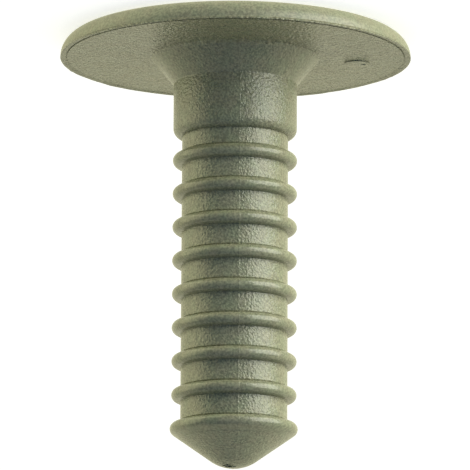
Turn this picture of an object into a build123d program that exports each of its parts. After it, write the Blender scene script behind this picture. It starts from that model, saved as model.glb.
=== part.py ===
from build123d import *
import os
from math import cos, floor, radians, sin, tan

# Push rivet, moulded in one piece: a thin round head, a short flare, a plain
# shoulder, a ribbed stem and a blunt point that starts the rivet in its hole.
# It stands on its head: z = 0 is the flat face of the head, the other side of
# the head is the seat, and the stem points up. Places along the stem are
# depths below the seat. Sizes are in millimetres and angles in degrees.

# Head
HEAD_DIAMETER = 18.0
HEAD_THICKNESS = 1.08
RIM_ROLL_WIDTH = 1.1  # how far in from the rim the face begins to roll over
RIM_EDGE_BREAK = 0.1  # where the rim meets the seat

# Flare, the cone that spreads the stem into the head
FLARE_DIAMETER = 8.62
FLARE_HEIGHT = 1.37
FLARE_FILLET = 0.12

# Shoulder, the plain length that fills the panel's hole
SHOULDER_DIAMETER = 6.32
SHOULDER_LENGTH = 4.15
SHOULDER_END_ROUND = 0.56

# Ribs, with round crests and steep straight flanks, on a thinner core
CORE_DIAMETER = 5.42
RIB_DIAMETER = 6.35
RIB_CREST_RADIUS = 0.34
RIB_FLANK_SLOPE = 24.0  # of both flanks, from the plane across the stem
RIB_PITCH = 1.735
SHOULDER_TO_RIB_GAP = 0.4  # least bare core after the shoulder

# Point
STEM_LENGTH = 21.24
TIP_RIB_DIAMETER = 6.48
TIP_SLOPE = 35.2  # of the cone, from the plane across the stem
TIP_ROUND = 2.04

# Traces of the mould
EJECTOR_PAD_DIAMETER = 1.3
EJECTOR_PAD_HEIGHT = 0.07
EJECTOR_PAD_DISTANCE = 6.3  # from the rivet's axis
EJECTOR_PAD_BEARING = 176.8
GATE_DIMPLE_RADIUS = 0.6  # of the ball that would leave the dimple
GATE_DIMPLE_DEPTH = 0.1
GATE_DIMPLE_TILT = 14.8  # of the dimple, from the rivet's axis
GATE_DIMPLE_BEARING = -57.5

# Sizes that follow from the ones above
HEAD_RADIUS = HEAD_DIAMETER / 2
FLARE_RADIUS = FLARE_DIAMETER / 2
SHOULDER_RADIUS = SHOULDER_DIAMETER / 2
CORE_RADIUS = CORE_DIAMETER / 2
TIP_CREST_CENTRE = TIP_RIB_DIAMETER / 2 - RIB_CREST_RADIUS  # from the axis
TIP_CENTRE_DEPTH = STEM_LENGTH - TIP_ROUND
TIP_RIB_DEPTH = (
    TIP_CENTRE_DEPTH
    + (TIP_ROUND - RIB_CREST_RADIUS) / cos(radians(TIP_SLOPE))
    - TIP_CREST_CENTRE * tan(radians(TIP_SLOPE))
)


def round_spot(radius, from_axis, depth):
    """A full round in the section, centred at a distance and a depth."""
    return Pos(from_axis, HEAD_THICKNESS + depth) * Circle(radius)


def flat_piece(*corners):
    """A straight-sided piece of the section; corners are (radius, depth)."""
    heights = [(radius, HEAD_THICKNESS + depth) for radius, depth in corners]
    return make_face(Polyline(*heights, close=True))


def head_section():
    """Flat face, rim that rolls over in one round, broken edge, flat seat."""
    roll_height = HEAD_THICKNESS - RIM_EDGE_BREAK
    with BuildSketch() as section:
        with BuildLine():
            face = Line((0, 0), (HEAD_RADIUS - RIM_ROLL_WIDTH, 0))
            TangentArc(face @ 1, (HEAD_RADIUS, roll_height), tangent=face % 1)
            Polyline(
                (HEAD_RADIUS, roll_height),
                (HEAD_RADIUS - RIM_EDGE_BREAK, HEAD_THICKNESS),
                (0, HEAD_THICKNESS),
                (0, 0),
            )
        make_face()
    return section.sketch


def shoulder_section():
    """Flare and shoulder; the shoulder's end is rounded down to the core."""
    flare = flat_piece(
        (0, 0), (FLARE_RADIUS, 0), (SHOULDER_RADIUS, FLARE_HEIGHT), (0, FLARE_HEIGHT)
    )
    round_depth = SHOULDER_LENGTH - SHOULDER_END_ROUND
    barrel = flat_piece(
        (0, 0), (SHOULDER_RADIUS, 0), (SHOULDER_RADIUS, round_depth), (0, round_depth)
    )
    end_round = round_spot(
        SHOULDER_END_ROUND, SHOULDER_RADIUS - SHOULDER_END_ROUND, round_depth
    )
    return flare + barrel + end_round


def rib_section(diameter, depth):
    """A round crest, with flanks that run on straight into the core."""
    slope = radians(RIB_FLANK_SLOPE)
    crest_centre = diameter / 2 - RIB_CREST_RADIUS
    flank_top = crest_centre + RIB_CREST_RADIUS * sin(slope)
    flank_end = CORE_RADIUS - RIB_CREST_RADIUS  # well inside the core
    half_top = RIB_CREST_RADIUS * cos(slope)
    half_end = half_top + (flank_top - flank_end) * tan(slope)
    flanks = flat_piece(
        (flank_end, depth - half_end),
        (flank_top, depth - half_top),
        (flank_top, depth + half_top),
        (flank_end, depth + half_end),
    )
    return flanks + round_spot(RIB_CREST_RADIUS, crest_centre, depth)


def rib_depths():
    """Ribs stand a pitch apart from the tip's rib back to the shoulder."""
    first_depth = SHOULDER_LENGTH + SHOULDER_TO_RIB_GAP + RIB_CREST_RADIUS
    count = floor((TIP_RIB_DEPTH - first_depth) / RIB_PITCH)
    return [TIP_RIB_DEPTH - RIB_PITCH * (step + 1) for step in range(count)]


def tip_section():
    """The last rib and the rounded tip, with a cone that touches them both."""
    slope = radians(TIP_SLOPE)
    cone = flat_piece(
        (0, TIP_RIB_DEPTH),
        (TIP_CREST_CENTRE, TIP_RIB_DEPTH),
        (
            TIP_CREST_CENTRE + RIB_CREST_RADIUS * sin(slope),
            TIP_RIB_DEPTH + RIB_CREST_RADIUS * cos(slope),
        ),
        (TIP_ROUND * sin(slope), TIP_CENTRE_DEPTH + TIP_ROUND * cos(slope)),
        (0, TIP_CENTRE_DEPTH),
    )
    tip = round_spot(TIP_ROUND, 0, TIP_CENTRE_DEPTH)
    return rib_section(TIP_RIB_DIAMETER, TIP_RIB_DEPTH) + cone + tip


def stem_section():
    """Everything below the seat, on one side of the axis."""
    core = flat_piece((0, 0), (CORE_RADIUS, 0), (CORE_RADIUS, TIP_RIB_DEPTH), (0, TIP_RIB_DEPTH))
    section = shoulder_section() + core + tip_section()
    for depth in rib_depths():
        section += rib_section(RIB_DIAMETER, depth)
    right_half = flat_piece((0, 0), (HEAD_RADIUS, 0), (HEAD_RADIUS, STEM_LENGTH), (0, STEM_LENGTH))
    return section & right_half


def moulded_body():
    """Head and stem turned round the axis, with a fillet where they meet."""
    section = head_section() + stem_section()
    flare_corner = section.vertices().sort_by_distance((FLARE_RADIUS, HEAD_THICKNESS))[0]
    return revolve(Plane.XZ * fillet(flare_corner, FLARE_FILLET))


def ejector_pad():
    """Low round pad that the ejector pin left on the seat."""
    pad = Cylinder(
        EJECTOR_PAD_DIAMETER / 2,
        EJECTOR_PAD_HEIGHT,
        align=(Align.CENTER, Align.CENTER, Align.MIN),
    )
    return Rot(Z=EJECTOR_PAD_BEARING) * Pos(EJECTOR_PAD_DISTANCE, 0, HEAD_THICKNESS) * pad


def gate_dimple():
    """Ball that takes a shallow dimple out of the tip, where the gate broke off."""
    from_tip_centre = TIP_ROUND + GATE_DIMPLE_RADIUS - GATE_DIMPLE_DEPTH
    ball = Pos(0, 0, from_tip_centre) * Sphere(GATE_DIMPLE_RADIUS)
    turned = Rot(Z=GATE_DIMPLE_BEARING) * Rot(Y=GATE_DIMPLE_TILT) * ball
    return Pos(0, 0, HEAD_THICKNESS + TIP_CENTRE_DEPTH) * turned


def push_rivet():
    rivet = moulded_body() + ejector_pad() - gate_dimple()
    rivet.label = "push_rivet"
    return rivet


os.makedirs("parts", exist_ok=True)
export_step(push_rivet(), "parts/push_rivet.step")
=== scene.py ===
from math import atan2, ceil, cos, exp, pi, radians, sin, tan

import bmesh
import bpy
from mathutils import Matrix, Vector, noise


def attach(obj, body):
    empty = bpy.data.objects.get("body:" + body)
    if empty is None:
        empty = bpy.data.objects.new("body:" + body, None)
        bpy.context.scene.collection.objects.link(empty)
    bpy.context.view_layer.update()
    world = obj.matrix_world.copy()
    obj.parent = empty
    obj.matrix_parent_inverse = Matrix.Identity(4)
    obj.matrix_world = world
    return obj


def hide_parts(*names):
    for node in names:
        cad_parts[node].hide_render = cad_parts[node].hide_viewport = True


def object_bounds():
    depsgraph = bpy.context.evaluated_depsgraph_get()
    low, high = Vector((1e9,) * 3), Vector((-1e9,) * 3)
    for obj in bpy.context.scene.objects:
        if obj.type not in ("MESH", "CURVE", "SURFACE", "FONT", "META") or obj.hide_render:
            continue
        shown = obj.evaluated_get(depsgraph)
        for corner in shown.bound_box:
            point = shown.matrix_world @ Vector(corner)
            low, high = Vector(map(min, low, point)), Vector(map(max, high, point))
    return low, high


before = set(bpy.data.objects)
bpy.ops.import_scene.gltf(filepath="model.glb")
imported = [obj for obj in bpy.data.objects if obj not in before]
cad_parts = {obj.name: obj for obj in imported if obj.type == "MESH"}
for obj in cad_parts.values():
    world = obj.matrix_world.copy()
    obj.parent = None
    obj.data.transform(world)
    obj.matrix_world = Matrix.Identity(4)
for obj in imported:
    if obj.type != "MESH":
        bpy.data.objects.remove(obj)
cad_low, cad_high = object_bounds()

# A push rivet moulded in one piece, standing on its head with its stem up.
# A fine turned mesh stands for the CAD node. It adds the ridges where the
# mould's halves met, the ragged lip of flash round the seat with a groove
# behind it, the creases beside the ribs, and the scars of the ejector pin and
# the gate. Sizes are in millimetres and angles in degrees, unless a comment
# says otherwise.

MM = 0.001

# From the frame
HEAD_RADIUS = min(cad_high.x, cad_high.y, -cad_low.x, -cad_low.y) / MM
RIVET_HEIGHT = cad_high.z / MM

# Head and flare
HEAD_THICKNESS = 1.08
RIM_ROLL_RADIUS = 1.08
RIM_LEAN = 0.1  # how far the rim leans out on its way to the seat
FLARE_RADIUS = 4.31
FLARE_HEIGHT = 1.37
FLARE_FILLET = 0.05
FLARE_END_ROUND = 0.15

# Shoulder and ribs
SHOULDER_RADIUS = 3.16
SHOULDER_LENGTH = 4.15
SHOULDER_END_ROUND = 0.44
CORE_RADIUS = 2.71
RIB_RADIUS = 3.175
CREST_RADIUS = 0.32
FLANK_SLOPE = 3.0  # of both flanks, from the plane across the stem
RIB_PITCH = 1.735
RIB_COUNT = 8
ROOT_FILLET = 0.02
CREASE_WIDTH = 0.1  # beside each rib, on the head's side
CREASE_DEPTH = 0.08

# Tip
TIP_RIB_RADIUS = 3.24
TIP_SLOPE = 35.2  # of the cone, from the plane across the stem
TIP_ROUND = 2.04

# Lip of flash round the seat's edge, with a fine groove behind it
LIP_HEIGHT = 0.055
LIP_TOP_WIDTH = 0.07
LIP_ROUND = 0.035
GROOVE_INSET = 0.35  # from the rim
GROOVE_DEPTH = 0.04
GROOVE_ROUND = 0.01

# How ragged the lip is: noise scales, and shares of the lip's height
LIP_SLOW_SCALE = 3.0
LIP_RAGGED_SCALE = 30.0
LIP_LEAST_SHARE = 0.05
LIP_MEAN_SHARE = 0.5
LIP_SLOW_SHARE = 0.6
LIP_RAGGED_SHARE = 0.5

# Ridges where the mould's halves met, at the front and the back
RIDGE_BEARINGS = (-90.0, 90.0)
RIDGE_HEIGHT = 0.008
RIDGE_HALF_WIDTH = 0.035

# Pad that the ejector pin left on the seat, with a pit in it
PAD_PLACE = (-6.29, 0.35)
PAD_RADIUS = 0.65
PAD_HEIGHT = 0.05
PAD_EDGE_ROUND = 0.025
PAD_ROUND_STEPS = 3
PAD_SIDES = 96
PIT_PLACE = (-6.64, 0.42)
PIT_RADIUS = 0.13

# Scar of the gate, on the round of the tip
SCAR_TILT = 14.8  # from the rivet's axis
SCAR_BEARING = -57.5
SCAR_RADIUS = 0.32
SCAR_DEPTH = 0.1

# Unevenness of the pit and the scar, as shares of their radius
PIT_LUMP = 0.5
SCAR_LUMP = 0.6
LUMP_SCALE = 8.0
BALL_SUBDIVISIONS = 4

# Fineness of the mesh
COLUMN_STEP = 2.5
RIDGE_COLUMNS = (-1.3, -0.8, -0.45, -0.2, 0.0, 0.2, 0.45, 0.8, 1.3)  # from a ridge's middle
ARC_STEP = 12.0  # greatest turn from point to point of a round
ARC_RUN = 0.1  # greatest length from point to point of a round
LONGEST_RUN = 0.5  # the same on a straight stretch
EDGE_RUN = 0.04  # from the end of a straight stretch to the point nearest to it
SHARP_ANGLE = 40.0  # edges that turn more than this are shaded sharp

# Camera
CAMERA_AIM = (-0.155, 1.77, 9.94)
CAMERA_AZIMUTH = 4.4
CAMERA_ELEVATION = 11.33
CAMERA_ROLL = 180.28  # the picture has the head at the top
CAMERA_DISTANCE = 262.0
CAMERA_LENS = 391.1
SENSOR_WIDTH = 36.0

# Floor
FLOOR_SIZE = 900.0
FLOOR_DROP = 0.005  # below the rivet's face
FLOOR_COLOUR = (0.8, 0.8, 0.8, 1.0)
FLOOR_ROUGHNESS = 0.9
FLOOR_WHITE = 0.65  # strength of its own white, which the lamps add to

# Soft boxes: name, bearing, elevation, width, height, brightness and colour
LAMPS = (
    ("key", -148.0, -21.0, 270.0, 305.0, 5.0, (1.0, 1.0, 0.88)),
    ("fill", 2.4, -22.0, 255.0, 400.0, 1.6, (1.0, 0.96, 0.57)),
)
LAMP_DISTANCE = 250.0

# Surroundings: dim and blue in front, bright and warm behind
FRONT_LIGHT = (0.0, 0.05, 0.19)
BACK_LIGHT = (0.9, 0.88, 0.7)
BACK_GLOSS = (1.0, 0.97, 0.7)  # what reflections see there
FRONT_TO_BACK = (-0.55, 0.3)  # where they brighten, along Y

# Plastic: colours and gloss
GREENER = (0.265, 0.285, 0.175)
BROWNER = (0.29, 0.285, 0.18)
SPECK_COLOUR = (0.0, 0.0, 0.0)
SPECKLE = 0.4  # greatest share of the speck colour
ROUGHNESS = 0.25
ROUGHNESS_SPREAD = 0.03
RIM_ROUGHNESS = 0.38

# Plastic: the grain that the mould gave it
GRAIN_DEPTH = 0.045
SMOOTH_GRAIN = 0.25  # share of the grain left on the ribs and the rim
SEAT_GRAIN = 2.8  # share of the coarser grain added on the seat

# Noise scales, in one metre, and the range that noise mostly keeps to
GRAIN_SCALE = 8500.0
SEAT_GRAIN_SCALE = 5500.0
SPECKLE_SCALE = 9000.0
BLOTCH_SCALE = 1500.0
NOISE_RANGE = (0.3, 0.7)

# Lengths over which the finish changes
RIM_FADE = 0.1
SEAT_FADE = 0.15
SHOULDER_FADE = 0.1
RIB_FADE = 0.15

# Where Blender's mix node keeps its colours
MIX_INPUTS = (6, 7)
MIX_OUTPUT = 2


# The turned outline, as (radius, height) points from the face to the tip


def arc_points(before, corner, after, round_radius):
    """Points of the round that takes a corner off."""
    into = (corner - before).normalized()
    out = (after - corner).normalized()
    turn = atan2(into.x * out.y - into.y * out.x, into.dot(out))
    start = corner - into * round_radius * tan(abs(turn) / 2)
    side = Vector((-into.y, into.x)) * (1 if turn > 0 else -1)
    centre = start + side * round_radius
    steps = ceil(abs(turn) * max(1 / radians(ARC_STEP), round_radius / ARC_RUN))
    return [
        centre + Matrix.Rotation(turn * step / steps, 2) @ (start - centre)
        for step in range(steps + 1)
    ]


def straight_points(start, end):
    """Points between two ends, close to each end and then evenly spaced."""
    length = (end - start).length
    if length < 4 * EDGE_RUN:
        return []
    along = (end - start) / length
    steps = ceil((length - 2 * EDGE_RUN) / LONGEST_RUN)
    run = (length - 2 * EDGE_RUN) / steps
    return [start + along * (EDGE_RUN + run * step) for step in range(steps + 1)]


def rounded_outline(corners):
    """A line through the corners, each (radius, height, round to take off)."""
    points = [Vector(corner[:2]) for corner in corners]
    outline = [points[0]]
    for number in range(1, len(corners) - 1):
        round_radius = corners[number][2]
        arc = arc_points(points[number - 1], points[number], points[number + 1], round_radius)
        outline += straight_points(outline[-1], arc[0]) + arc
    return outline


def rib_corners(depth):
    """Crease, crest and far root of a rib at a depth below the seat."""
    slope = radians(FLANK_SLOPE)
    peak = RIB_RADIUS - CREST_RADIUS + CREST_RADIUS / sin(slope)
    half_root = (peak - CORE_RADIUS) * tan(slope)
    half_crease = half_root + CREASE_DEPTH * tan(slope)
    height = HEAD_THICKNESS + depth
    return [
        (CORE_RADIUS, height - half_crease - CREASE_WIDTH, ROOT_FILLET),
        (CORE_RADIUS - CREASE_DEPTH, height - half_crease, ROOT_FILLET),
        (peak, height, CREST_RADIUS),
        (CORE_RADIUS, height + half_root, ROOT_FILLET),
    ]


def tip_rib_depth():
    """Where the tip's cone touches both the last rib and the tip's round."""
    slope = radians(TIP_SLOPE)
    round_centre = RIVET_HEIGHT - HEAD_THICKNESS - TIP_ROUND
    crest_centre = TIP_RIB_RADIUS - CREST_RADIUS
    return round_centre + (TIP_ROUND - CREST_RADIUS) / cos(slope) - crest_centre * tan(slope)


def tip_corners():
    """Crease and crest of the last rib, then the cone's point and its far side."""
    flank, cone = radians(FLANK_SLOPE), radians(TIP_SLOPE)
    reach = CREST_RADIUS * (cos(flank) + cos(cone)) / sin(flank + cone)
    rise = CREST_RADIUS * (sin(flank) - sin(cone)) / sin(flank + cone)
    peak = TIP_RIB_RADIUS - CREST_RADIUS + reach
    peak_height = HEAD_THICKNESS + tip_rib_depth() + rise
    root_height = peak_height - (peak - CORE_RADIUS + CREASE_DEPTH) * tan(flank)
    point = RIVET_HEIGHT - TIP_ROUND + TIP_ROUND / cos(cone)
    return [
        (CORE_RADIUS, root_height - CREASE_WIDTH, ROOT_FILLET),
        (CORE_RADIUS - CREASE_DEPTH, root_height, ROOT_FILLET),
        (peak, peak_height, CREST_RADIUS),
        (0, point, TIP_ROUND),
        (-peak, peak_height, 0),
    ]


def head_corners():
    """Middle of the face, rim, lip and groove, as far as the flare's foot."""
    lip_top = HEAD_THICKNESS + LIP_HEIGHT
    groove_radius = HEAD_RADIUS - GROOVE_INSET
    return [
        (0, 0, 0),
        (HEAD_RADIUS - RIM_LEAN, 0, RIM_ROLL_RADIUS),
        (HEAD_RADIUS, lip_top, LIP_ROUND),
        (HEAD_RADIUS - LIP_TOP_WIDTH, lip_top, LIP_ROUND),
        (groove_radius, HEAD_THICKNESS - GROOVE_DEPTH, GROOVE_ROUND),
        (groove_radius, HEAD_THICKNESS, GROOVE_ROUND),
        (FLARE_RADIUS, HEAD_THICKNESS, FLARE_FILLET),
    ]


def shoulder_corners():
    """Top of the flare, and the shoulder's end with its step down to the core."""
    shoulder_end = HEAD_THICKNESS + SHOULDER_LENGTH
    return [
        (SHOULDER_RADIUS, HEAD_THICKNESS + FLARE_HEIGHT, FLARE_END_ROUND),
        (SHOULDER_RADIUS, shoulder_end, SHOULDER_END_ROUND),
        (CORE_RADIUS, shoulder_end, 0),
    ]


def rivet_outline():
    """From the middle of the face, round the rim and up the stem to the tip."""
    corners = head_corners() + shoulder_corners()
    for step in reversed(range(RIB_COUNT)):
        corners += rib_corners(tip_rib_depth() - RIB_PITCH * (step + 1))
    outline = rounded_outline(corners + tip_corners())
    # The tip's round runs on past the axis, and that half isn't needed
    return [point for point in outline if point.x > 0 or point.y == 0]


# The body as a mesh


def column_bearings():
    """Bearings of the mesh's columns, closer together on the ridges."""
    fine = [ridge + step for ridge in RIDGE_BEARINGS for step in RIDGE_COLUMNS]
    count = round(360 / COLUMN_STEP)
    coarse = [COLUMN_STEP * number - 180 for number in range(count)]
    clear = [
        bearing
        for bearing in coarse
        if all(abs(bearing - ridge) > COLUMN_STEP / 2 for ridge in RIDGE_BEARINGS)
    ]
    return sorted(fine + clear)


def ridge_rise(radius, bearing):
    """Height of the ridge at a bearing, on ground that far from the axis."""
    from_ridge = min(abs(bearing - ridge) for ridge in RIDGE_BEARINGS)
    across = radius * radians(from_ridge)
    return RIDGE_HEIGHT * exp(-((across / RIDGE_HALF_WIDTH) ** 2))


def lip_share(bearing):
    """How much of its height the ragged lip has at a bearing."""
    place = Vector((cos(radians(bearing)), sin(radians(bearing)), 0))
    slow = LIP_SLOW_SHARE * noise.noise(place * LIP_SLOW_SCALE)
    ragged = LIP_RAGGED_SHARE * noise.noise(place * LIP_RAGGED_SCALE)
    return min(1.0, max(LIP_LEAST_SHARE, LIP_MEAN_SHARE + slow + ragged))


def place_on_body(point, outward, bearing):
    """A point of the outline turned to a bearing, with its ridge or lip."""
    radius, height = point
    if radius > HEAD_RADIUS - GROOVE_INSET and height > HEAD_THICKNESS:
        height = HEAD_THICKNESS + (height - HEAD_THICKNESS) * lip_share(bearing)
    elif height >= HEAD_THICKNESS:
        rise = ridge_rise(radius, bearing)
        radius += outward.x * rise
        height = min(height + outward.y * rise, RIVET_HEIGHT)
    turn = radians(bearing)
    return Vector((radius * cos(turn), radius * sin(turn), height)) * MM


def outward_directions(outline):
    """Directions across the outline, away from the plastic."""
    count = len(outline)
    along = [
        (outline[min(number + 1, count - 1)] - outline[max(number - 1, 0)]).normalized()
        for number in range(count)
    ]
    return [Vector((run.y, -run.x)) for run in along]


def finished_object(mesh, name):
    """An object in the scene, made from a mesh under construction."""
    data = bpy.data.meshes.new(name)
    mesh.to_mesh(data)
    mesh.free()
    piece = bpy.data.objects.new(name, data)
    bpy.context.scene.collection.objects.link(piece)
    return piece


def turned_mesh():
    """The outline turned round the axis and closed at the face and the tip."""
    outline = rivet_outline()
    bearings = column_bearings()
    mesh = bmesh.new()
    rings = [
        [mesh.verts.new(place_on_body(point, outward, bearing)) for bearing in bearings]
        for point, outward in zip(outline[1:], outward_directions(outline)[1:])
    ]
    face_middle = mesh.verts.new((0, 0, 0))
    tip = mesh.verts.new((0, 0, RIVET_HEIGHT * MM))
    for column in range(len(bearings)):
        after = (column + 1) % len(bearings)
        mesh.faces.new((face_middle, rings[0][after], rings[0][column]))
        for low, high in zip(rings, rings[1:]):
            mesh.faces.new((low[column], low[after], high[after], high[column]))
        mesh.faces.new((rings[-1][column], rings[-1][after], tip))
    return finished_object(mesh, "rivet_body")


# Scars of the mould, as small solids that are joined to the body or cut from it


def ejector_pad():
    """A low round pad with a rounded edge, half of it sunk in the seat."""
    mesh = bmesh.new()
    middle = Vector((*PAD_PLACE, HEAD_THICKNESS)) * MM
    bmesh.ops.create_cone(
        mesh,
        cap_ends=True,
        segments=PAD_SIDES,
        radius1=PAD_RADIUS * MM,
        radius2=PAD_RADIUS * MM,
        depth=2 * PAD_HEIGHT * MM,
        matrix=Matrix.Translation(middle),
    )
    top_edges = [
        edge
        for edge in mesh.edges
        if all(vertex.co.z > middle.z for vertex in edge.verts)
    ]
    bmesh.ops.bevel(
        mesh,
        geom=top_edges,
        offset=PAD_EDGE_ROUND * MM,
        segments=PAD_ROUND_STEPS,
        profile=0.5,
        affect="EDGES",
    )
    return finished_object(mesh, "ejector_pad")


def lumpy_ball(name, centre, radius, lump, flatten):
    """A ball with an uneven surface, pressed flatter along the vector flatten."""
    mesh = bmesh.new()
    bmesh.ops.create_icosphere(mesh, subdivisions=BALL_SUBDIVISIONS, radius=radius)
    for vertex in mesh.verts:
        vertex.co *= 1 + lump * noise.noise(vertex.co * LUMP_SCALE + centre)
        vertex.co -= flatten * vertex.co.dot(flatten)
        vertex.co = (vertex.co + centre) * MM
    return finished_object(mesh, name)


def ejector_pit():
    """A ball that takes a small pit out of the pad."""
    centre = Vector((*PIT_PLACE, HEAD_THICKNESS + PAD_HEIGHT))
    return lumpy_ball("pit", centre, PIT_RADIUS, PIT_LUMP, Vector((0, 0, 0)))


def gate_scar():
    """A ball pressed flat against the tip's round, as deep as the scar."""
    tilt, bearing = radians(SCAR_TILT), radians(SCAR_BEARING)
    outward = Vector((sin(tilt) * cos(bearing), sin(tilt) * sin(bearing), cos(tilt)))
    centre = Vector((0, 0, RIVET_HEIGHT - TIP_ROUND)) + outward * TIP_ROUND
    # The square of its length is the share of its depth that the ball loses
    flatten = outward * (1 - SCAR_DEPTH / SCAR_RADIUS) ** 0.5
    return lumpy_ball("scar", centre, SCAR_RADIUS, SCAR_LUMP, flatten)


def combine(piece, tool, operation):
    """Joins a small solid to the piece, or cuts it out, and deletes it."""
    change = piece.modifiers.new(operation, "BOOLEAN")
    change.operation = operation
    change.object = tool
    change.solver = "MANIFOLD"
    depsgraph = bpy.context.evaluated_depsgraph_get()
    made = bpy.data.meshes.new_from_object(piece.evaluated_get(depsgraph))
    piece.modifiers.remove(change)
    piece.data = made
    bpy.data.objects.remove(tool)


def rivet_body():
    """The whole rivet, in the place of its CAD node."""
    body = turned_mesh()
    combine(body, ejector_pad(), "UNION")
    combine(body, ejector_pit(), "DIFFERENCE")
    combine(body, gate_scar(), "DIFFERENCE")
    body.data.shade_smooth()
    body.data.set_sharp_from_angle(angle=radians(SHARP_ANGLE))
    body.data.materials.clear()  # of the empty slots that joining and cutting left
    body.data.materials.append(plastic())
    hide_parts("push_rivet")
    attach(body, "root")


# Shader nodes


def add_node(tree, kind, **settings):
    """A shader node of a kind, with the settings given by name."""
    node = tree.nodes.new("ShaderNode" + kind)
    for name, value in settings.items():
        setattr(node, name, value)
    return node


def noise_texture(tree, place, scale, detail):
    """Noise between zero and one."""
    node = add_node(tree, "TexNoise")
    node.inputs["Scale"].default_value = scale
    node.inputs["Detail"].default_value = detail
    tree.links.new(place, node.inputs["Vector"])
    return node.outputs["Fac"]


def map_range(tree, value, from_low, from_high, to_low, to_high):
    """A smooth step from one range to another."""
    node = add_node(tree, "MapRange", interpolation_type="SMOOTHSTEP")
    numbers = (from_low, from_high, to_low, to_high)
    for name, number in zip(("From Min", "From Max", "To Min", "To Max"), numbers):
        node.inputs[name].default_value = number
    tree.links.new(value, node.inputs["Value"])
    return node.outputs["Result"]


def calculate(tree, operation, *values):
    """Arithmetic on values, each a number or a node's output."""
    node = add_node(tree, "Math", operation=operation)
    for number, value in enumerate(values):
        if isinstance(value, (int, float)):
            node.inputs[number].default_value = value
        else:
            tree.links.new(value, node.inputs[number])
    return node.outputs["Value"]


def mix_colours(tree, share, first, second):
    """A mix of two colours, each a plain colour or a node's output."""
    node = add_node(tree, "Mix", data_type="RGBA")
    for number, colour in zip(MIX_INPUTS, (first, second)):
        if isinstance(colour, tuple):
            node.inputs[number].default_value = (*colour, 1)
        else:
            tree.links.new(colour, node.inputs[number])
    tree.links.new(share, node.inputs["Factor"])
    return node.outputs[MIX_OUTPUT]


def seen_directly(tree):
    """One for what the camera, a reflection or glass sees, and zero for light."""
    path = add_node(tree, "LightPath")
    rays = [path.outputs["Is " + kind + " Ray"] for kind in ("Camera", "Glossy", "Transmission")]
    return calculate(tree, "MAXIMUM", calculate(tree, "MAXIMUM", *rays[:2]), rays[2])


# The plastic


def finish_shares(tree, place):
    """Shares that are one on the rim, on the ribs and on the seat."""
    axes = add_node(tree, "SeparateXYZ")
    tree.links.new(place, axes.inputs["Vector"])
    across = [calculate(tree, "POWER", axes.outputs[axis], 2.0) for axis in "XY"]
    radius = calculate(tree, "SQRT", calculate(tree, "ADD", *across))
    height = axes.outputs["Z"]
    seat_height = HEAD_THICKNESS * MM
    ribs_start = (HEAD_THICKNESS + SHOULDER_LENGTH) * MM
    core = CORE_RADIUS * MM
    rim = map_range(tree, height, seat_height - RIM_FADE * MM, seat_height, 1.0, 0.0)
    head = map_range(tree, height, seat_height, seat_height + SEAT_FADE * MM, 1.0, 0.0)
    ribbed = map_range(tree, height, ribs_start, ribs_start + SHOULDER_FADE * MM, 0.0, 1.0)
    raised = map_range(tree, radius, core, core + RIB_FADE * MM, 0.0, 1.0)
    ribs = calculate(tree, "MULTIPLY", ribbed, raised)
    return rim, ribs, calculate(tree, "SUBTRACT", head, rim)


def plastic_colour(tree, place, blotches):
    """Olive grey that wanders between two tints, with fine dark specks."""
    specks = noise_texture(tree, place, SPECKLE_SCALE, detail=1.0)
    tint = mix_colours(tree, map_range(tree, blotches, *NOISE_RANGE, 0.0, 1.0), GREENER, BROWNER)
    share = map_range(tree, specks, *NOISE_RANGE, 0.0, SPECKLE)
    return mix_colours(tree, share, tint, SPECK_COLOUR)


def plastic_roughness(tree, blotches, rim):
    """A little uneven, and rougher on the rim."""
    low, high = ROUGHNESS - ROUGHNESS_SPREAD, ROUGHNESS + ROUGHNESS_SPREAD
    uneven = map_range(tree, blotches, *NOISE_RANGE, low, high)
    return calculate(tree, "MAXIMUM", uneven, calculate(tree, "MULTIPLY", rim, RIM_ROUGHNESS))


def plastic_grain(tree, place, rim, ribs, seat):
    """Fine grain, smoother on the rim and the ribs, and coarser on the seat."""
    fine = noise_texture(tree, place, GRAIN_SCALE, detail=1.5)
    coarse = noise_texture(tree, place, SEAT_GRAIN_SCALE, detail=1.5)
    smooth = calculate(tree, "MAXIMUM", rim, ribs)
    share = map_range(tree, smooth, 0.0, 1.0, 1.0, SMOOTH_GRAIN)
    on_seat = calculate(tree, "MULTIPLY", calculate(tree, "MULTIPLY", coarse, seat), SEAT_GRAIN)
    height = calculate(tree, "ADD", calculate(tree, "MULTIPLY", fine, share), on_seat)
    bump = add_node(tree, "Bump")
    bump.inputs["Distance"].default_value = GRAIN_DEPTH * MM
    tree.links.new(height, bump.inputs["Height"])
    return bump.outputs["Normal"]


def plastic():
    """Olive-grey plastic with the fine grain of a spark-eroded mould."""
    material = bpy.data.materials.new("moulded_plastic")
    material.use_nodes = True
    tree = material.node_tree
    shader = tree.nodes["Principled BSDF"]
    place = add_node(tree, "TexCoord").outputs["Object"]
    blotches = noise_texture(tree, place, BLOTCH_SCALE, detail=3.0)
    rim, ribs, seat = finish_shares(tree, place)
    tree.links.new(plastic_colour(tree, place, blotches), shader.inputs["Base Color"])
    tree.links.new(plastic_roughness(tree, blotches, rim), shader.inputs["Roughness"])
    tree.links.new(plastic_grain(tree, place, rim, ribs, seat), shader.inputs["Normal"])
    return material


# Studio


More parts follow.
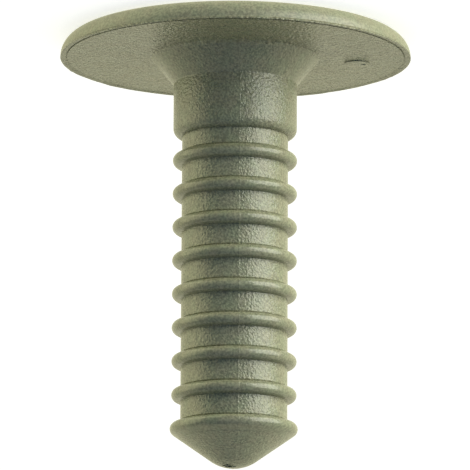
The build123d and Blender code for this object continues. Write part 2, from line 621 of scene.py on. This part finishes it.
def floor_material():
    """A pale table that looks white, and still takes the rivet's shadow."""
    material = bpy.data.materials.new("floor")
    material.use_nodes = True
    tree = material.node_tree
    shader = tree.nodes["Principled BSDF"]
    shader.inputs["Base Color"].default_value = FLOOR_COLOUR
    shader.inputs["Roughness"].default_value = FLOOR_ROUGHNESS
    shader.inputs["Specular IOR Level"].default_value = 0.0
    shader.inputs["Emission Color"].default_value = (1, 1, 1, 1)
    glow = calculate(tree, "MULTIPLY", seen_directly(tree), FLOOR_WHITE)
    tree.links.new(glow, shader.inputs["Emission Strength"])
    return material


def make_floor():
    """A wide floor just below the rivet's face."""
    mesh = bmesh.new()
    bmesh.ops.create_grid(mesh, x_segments=1, y_segments=1, size=FLOOR_SIZE / 2 * MM)
    floor = finished_object(mesh, "floor")
    floor.location.z = -FLOOR_DROP * MM
    # The soft boxes reach below the floor, so it is there for the camera alone
    floor.visible_diffuse = floor.visible_glossy = False
    floor.visible_transmission = floor.visible_shadow = False
    floor.data.materials.append(floor_material())


def make_lamp(name, bearing, elevation, width, height, brightness, colour):
    """A soft box that faces the rivet; one whose brightness is 1 looks white."""
    data = bpy.data.lights.new(name, "AREA")
    data.shape = "RECTANGLE"
    data.size = width * MM
    data.size_y = height * MM
    data.energy = pi * data.size * data.size_y * brightness
    data.color = colour
    lamp = bpy.data.objects.new(name, data)
    bpy.context.scene.collection.objects.link(lamp)
    turn = (
        Matrix.Rotation(radians(bearing + 90), 4, "Z")
        @ Matrix.Rotation(radians(90 - elevation), 4, "X")
    )
    aim = Vector((0, 0, RIVET_HEIGHT / 2))
    back = turn.to_3x3() @ Vector((0, 0, LAMP_DISTANCE))
    lamp.matrix_world = Matrix.Translation((aim + back) * MM) @ turn


def make_world():
    """White to the camera; it lights the rivet softly, and most from behind."""
    world = bpy.data.worlds.new("studio")
    world.use_nodes = True
    world.cycles.sampling_method = "NONE"  # it has no small bright spots to look for
    tree = world.node_tree
    background = tree.nodes["Background"]
    direction = add_node(tree, "TexCoord").outputs["Generated"]
    axes = add_node(tree, "SeparateXYZ")
    tree.links.new(direction, axes.inputs["Vector"])
    behind = map_range(tree, axes.outputs["Y"], *FRONT_TO_BACK, 0.0, 1.0)
    light = mix_colours(tree, behind, FRONT_LIGHT, BACK_LIGHT)
    gloss = mix_colours(tree, behind, FRONT_LIGHT, BACK_GLOSS)
    lit = mix_colours(tree, seen_directly(tree), light, gloss)
    camera = add_node(tree, "LightPath").outputs["Is Camera Ray"]
    tree.links.new(mix_colours(tree, camera, lit, (1, 1, 1)), background.inputs["Color"])
    background.inputs["Strength"].default_value = 1.0
    bpy.context.scene.world = world


def make_camera():
    """Level with the photograph's view, then turned over to put the head up."""
    data = bpy.data.cameras.new("camera")
    data.lens = CAMERA_LENS
    data.sensor_width = SENSOR_WIDTH
    camera = bpy.data.objects.new("camera", data)
    bpy.context.scene.collection.objects.link(camera)
    turn = (
        Matrix.Rotation(radians(CAMERA_AZIMUTH), 4, "Z")
        @ Matrix.Rotation(radians(90 - CAMERA_ELEVATION), 4, "X")
        @ Matrix.Rotation(radians(CAMERA_ROLL), 4, "Z")
    )
    back = turn.to_3x3() @ Vector((0, 0, CAMERA_DISTANCE))
    camera.matrix_world = Matrix.Translation((Vector(CAMERA_AIM) + back) * MM) @ turn
    bpy.context.scene.camera = camera


rivet_body()
make_floor()
make_camera()
make_world()
for lamp in LAMPS:
    make_lamp(*lamp)
bpy.context.scene.view_settings.view_transform = "Standard"
